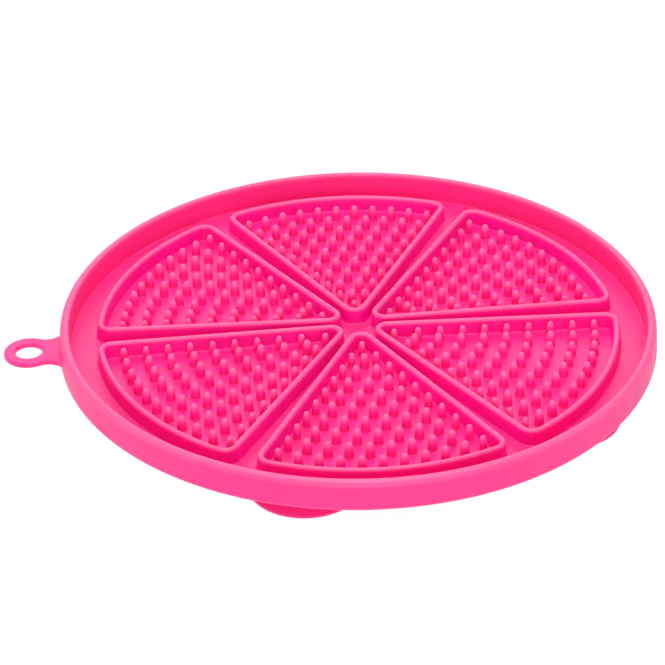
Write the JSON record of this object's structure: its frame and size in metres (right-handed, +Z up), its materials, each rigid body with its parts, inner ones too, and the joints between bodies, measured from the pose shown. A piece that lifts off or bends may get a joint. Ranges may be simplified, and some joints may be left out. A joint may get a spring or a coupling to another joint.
{
  "type": "lick mat",
  "caption": "Round silicone lick mat: raised rim, wedge-shaped cells full of nubs, suction cups underneath and a ring tab to hang it by.",
  "frame": {"origin": "middle of the outline seen from above, tab included, on the surface that the suction cups' lips rest on; the round tray itself is centred 9.3 mm towards +X", "axes": "+Z up, away from the surface; +X from the hanging tab through the middle of the tray; +Y to its left when looking along +X"},
  "size_m": [0.2186, 0.2, 0.017],
  "materials": {
    "silicone": "satin moulded silicone"
  },
  "bodies": {
    "root": {"floor_web": "silicone", "rim": "silicone", "hanging_tab": "silicone", "cell_wall_1": "silicone", "cell_wall_2": "silicone", "cell_wall_3": "silicone", "cell_wall_4": "silicone", "cell_wall_5": "silicone", "cell_wall_6": "silicone", "nub_bed_1": "silicone", "nub_bed_2": "silicone", "nub_bed_3": "silicone", "nub_bed_4": "silicone", "nub_bed_5": "silicone", "nub_bed_6": "silicone", "suction_cup_1": "silicone", "suction_cup_2": "silicone", "suction_cup_3": "silicone", "suction_cup_4": "silicone", "suction_cup_5": "silicone"}
  },
  "joints": []
}
